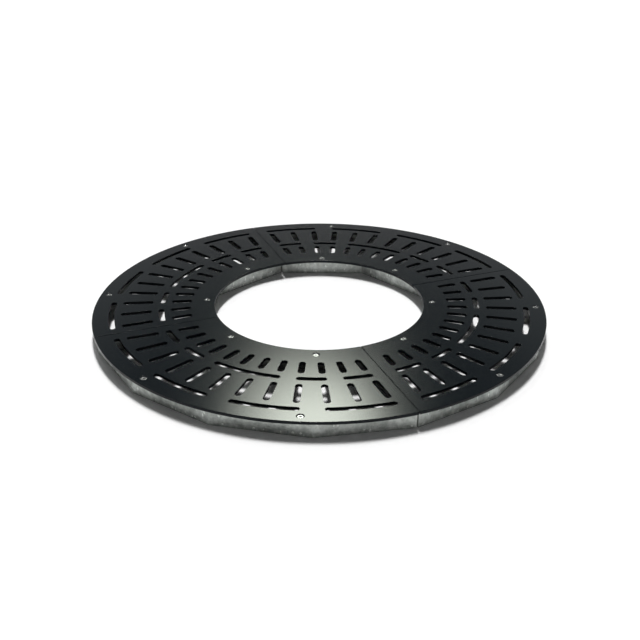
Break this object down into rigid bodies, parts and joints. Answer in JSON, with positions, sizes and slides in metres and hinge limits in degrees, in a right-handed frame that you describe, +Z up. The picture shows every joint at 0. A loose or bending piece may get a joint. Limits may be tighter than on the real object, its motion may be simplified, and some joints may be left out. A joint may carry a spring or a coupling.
{
  "type": "tree grate",
  "caption": "Round slotted tree grate in bolted quarters: dark powder-coated cover plates screwed onto galvanised flat-bar frames around an open centre for the trunk.",
  "frame": {"origin": "centre of the grate on the ground, under the middle of the trunk opening", "axes": "+Z up; +X and +Y along two of the four seams, quarter 1 between them"},
  "size_m": [1.6, 1.6, 0.06],
  "materials": {
    "powder_coated_plate": "smooth satin anthracite powder coat on laser-cut steel plate",
    "galvanised_frame": "hot-dip galvanised, dull grey with spangle",
    "stainless_fasteners": "bright turned stainless steel"
  },
  "bodies": {
    "frames": {"outer_rail_1": "galvanised_frame", "outer_rail_2": "galvanised_frame", "outer_rail_3": "galvanised_frame", "outer_rail_4": "galvanised_frame", "inner_rail_1": "galvanised_frame", "inner_rail_2": "galvanised_frame", "inner_rail_3": "galvanised_frame", "inner_rail_4": "galvanised_frame", "right_end_bar_1": "galvanised_frame", "right_end_bar_2": "galvanised_frame", "right_end_bar_3": "galvanised_frame", "right_end_bar_4": "galvanised_frame", "left_end_bar_1": "galvanised_frame", "left_end_bar_2": "galvanised_frame", "left_end_bar_3": "galvanised_frame", "left_end_bar_4": "galvanised_frame", "outer_lugs_1": "galvanised_frame", "outer_lugs_2": "galvanised_frame", "outer_lugs_3": "galvanised_frame", "outer_lugs_4": "galvanised_frame", "inner_lugs_1": "galvanised_frame", "inner_lugs_2": "galvanised_frame", "inner_lugs_3": "galvanised_frame", "inner_lugs_4": "galvanised_frame", "seam_bolts_1": "stainless_fasteners", "seam_bolts_2": "stainless_fasteners", "seam_bolts_3": "stainless_fasteners", "seam_bolts_4": "stainless_fasteners", "seam_nuts_1": "stainless_fasteners", "seam_nuts_2": "stainless_fasteners", "seam_nuts_3": "stainless_fasteners", "seam_nuts_4": "stainless_fasteners", "seam_washers_1": "stainless_fasteners", "seam_washers_2": "stainless_fasteners", "seam_washers_3": "stainless_fasteners", "seam_washers_4": "stainless_fasteners", "seam_spacers_1": "stainless_fasteners", "seam_spacers_2": "stainless_fasteners", "seam_spacers_3": "stainless_fasteners", "seam_spacers_4": "stainless_fasteners"},
    "cover_1": {"cover_plate_1": "powder_coated_plate", "cover_screws_1": "stainless_fasteners"},
    "cover_2": {"cover_plate_2": "powder_coated_plate", "cover_screws_2": "stainless_fasteners"},
    "cover_3": {"cover_plate_3": "powder_coated_plate", "cover_screws_3": "stainless_fasteners"},
    "cover_4": {"cover_plate_4": "powder_coated_plate", "cover_screws_4": "stainless_fasteners"}
  },
  "joints": [
    {"name": "cover_1_lift", "type": "slide", "parent": "frames", "child": "cover_1", "axis": [0, 0, 1], "range_m": [0, 0.12]},
    {"name": "cover_2_lift", "type": "slide", "parent": "frames", "child": "cover_2", "axis": [0, 0, 1], "range_m": [0, 0.12]},
    {"name": "cover_3_lift", "type": "slide", "parent": "frames", "child": "cover_3", "axis": [0, 0, 1], "range_m": [0, 0.12]},
    {"name": "cover_4_lift", "type": "slide", "parent": "frames", "child": "cover_4", "axis": [0, 0, 1], "range_m": [0, 0.12]}
  ]
}
